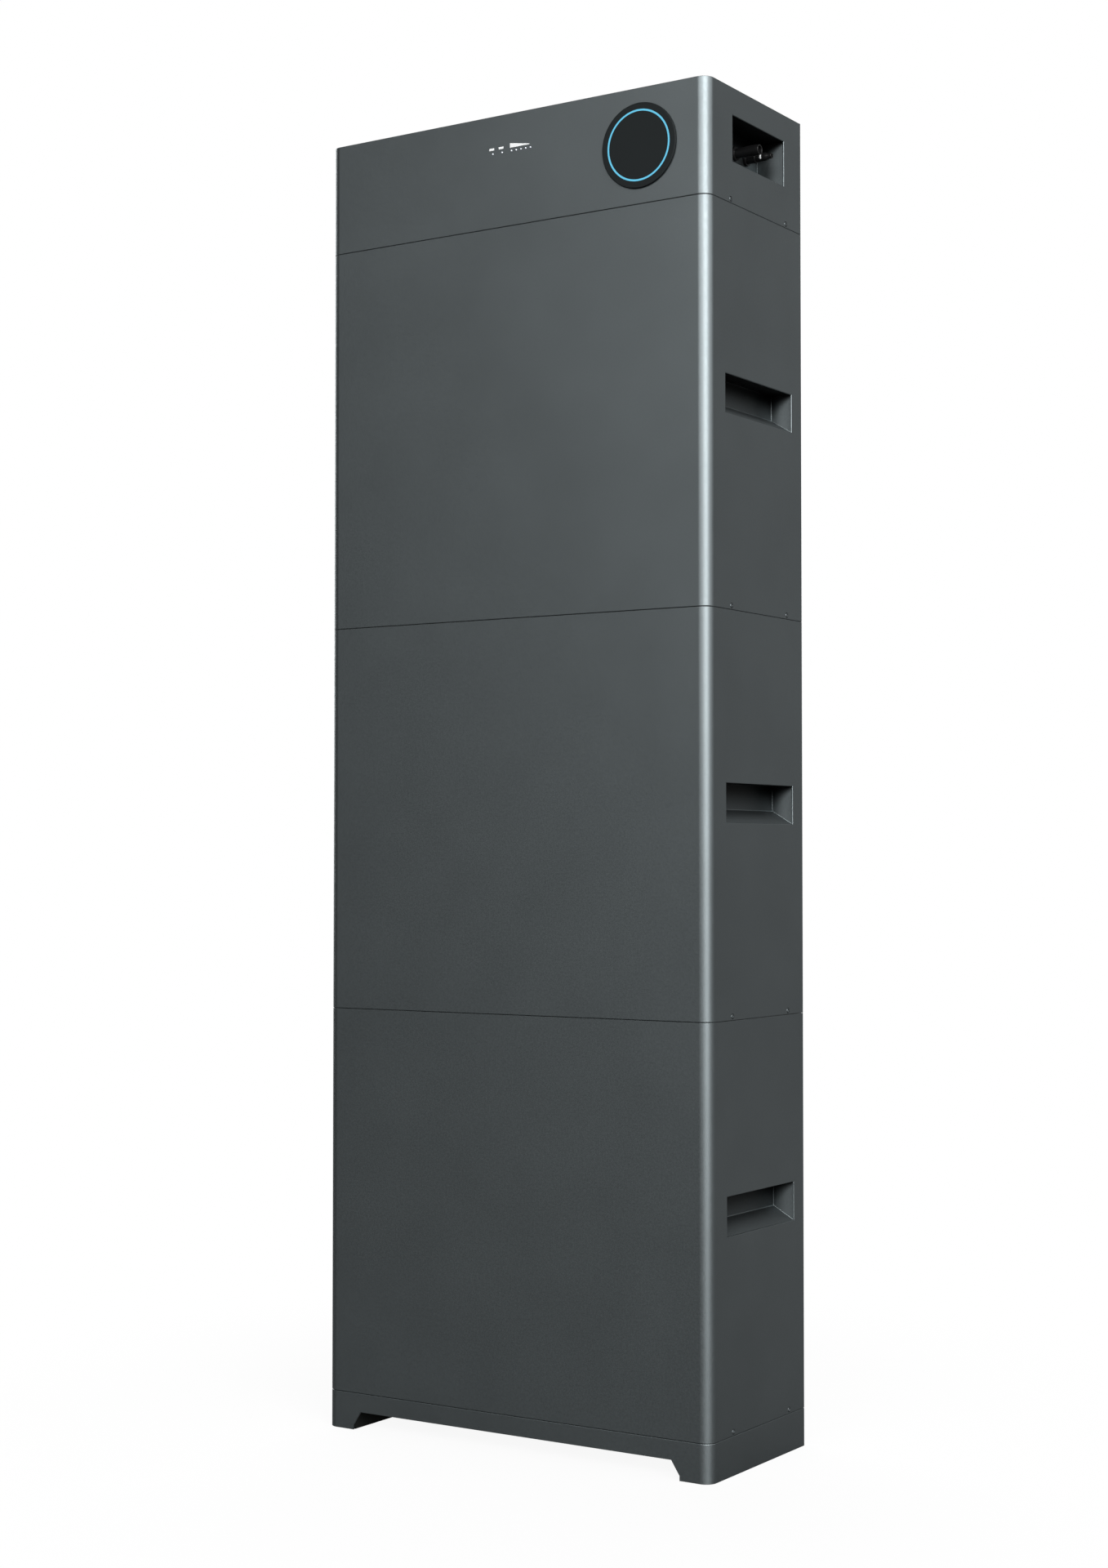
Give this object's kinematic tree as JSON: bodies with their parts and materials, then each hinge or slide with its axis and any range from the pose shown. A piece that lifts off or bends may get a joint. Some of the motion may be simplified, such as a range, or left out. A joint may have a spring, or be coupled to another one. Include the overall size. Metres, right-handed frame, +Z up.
{
  "type": "stacked home battery tower",
  "caption": "Free-standing tower of stacked battery modules on a footed plinth, with a control unit on top, hand pockets and a connector recess in its sides, a round badge and indicator lights.",
  "frame": {"origin": "on the floor, in the middle of the case's footprint", "axes": "+Z up, +Y from the front with the badge to the back, +X to the right as seen from the front, towards the connector recess"},
  "size_m": [0.6, 0.2564, 1.76],
  "materials": {
    "coated_case": "satin anthracite coat",
    "pocket": "matt anthracite coat",
    "zinc_plate": "zinc plated sheet",
    "cells": "blue film over aluminium cans",
    "busbar": "bare bars on a carrier",
    "board": "green circuit board",
    "black_plastic": "moulded, satin",
    "badge_face": "satin black disc",
    "ring": "light blue inlay",
    "lens": "clear light guide",
    "grey_plastic": "moulded",
    "button": "turned and anodised"
  },
  "bodies": {
    "tower": {"plinth_skirt": "coated_case", "plinth_deck": "zinc_plate", "left_foot_channel": "coated_case", "right_foot_channel": "coated_case", "lower_case": "coated_case", "lower_rear_cover": "coated_case", "lower_top_deck": "zinc_plate", "lower_bottom_pan": "zinc_plate", "lower_left_handle": "pocket", "lower_right_handle": "pocket", "lower_left_cells": "cells", "lower_right_cells": "cells", "lower_busbar_panel": "busbar", "lower_monitor_board": "board", "lower_stack_plug": "black_plastic", "lower_stack_socket": "black_plastic", "middle_case": "coated_case", "middle_rear_cover": "coated_case", "middle_top_deck": "zinc_plate", "middle_bottom_pan": "zinc_plate", "middle_left_handle": "pocket", "middle_right_handle": "pocket", "middle_left_cells": "cells", "middle_right_cells": "cells", "middle_busbar_panel": "busbar", "middle_monitor_board": "board", "middle_stack_plug": "black_plastic", "middle_stack_socket": "black_plastic", "upper_case": "coated_case", "upper_rear_cover": "coated_case", "upper_top_deck": "zinc_plate", "upper_bottom_pan": "zinc_plate", "upper_left_handle": "pocket", "upper_right_handle": "pocket", "upper_left_cells": "cells", "upper_right_cells": "cells", "upper_busbar_panel": "busbar", "upper_monitor_board": "board", "upper_stack_plug": "black_plastic", "upper_stack_socket": "black_plastic", "control_case": "coated_case", "control_rear_cover": "coated_case", "control_lid": "coated_case", "control_bottom_pan": "zinc_plate", "control_stack_socket": "black_plastic", "connector_recess": "pocket", "switch_recess": "pocket", "socket_connector": "black_plastic", "pin_connector": "black_plastic", "badge_disc": "badge_face", "badge_ring": "ring", "light_guide": "lens", "control_board": "board", "main_contactor": "black_plastic", "main_fuse": "grey_plastic", "breaker_body": "grey_plastic", "power_button_body": "black_plastic", "data_ports": "black_plastic"},
    "lever": {"breaker_lever": "black_plastic"},
    "button": {"power_button": "button"}
  },
  "joints": [
    {"name": "breaker_lever_turn", "type": "hinge", "parent": "tower", "child": "lever", "pos_m": [-0.266, -0.0362, 1.6947], "axis": [0, 1, 0], "range_deg": [0, 80]},
    {"name": "power_button_press", "type": "slide", "parent": "tower", "child": "button", "axis": [1, 0, 0], "range_m": [0, 0.0025], "stiffness_N_per_m": 600, "springref_m": -0.002}
  ]
}
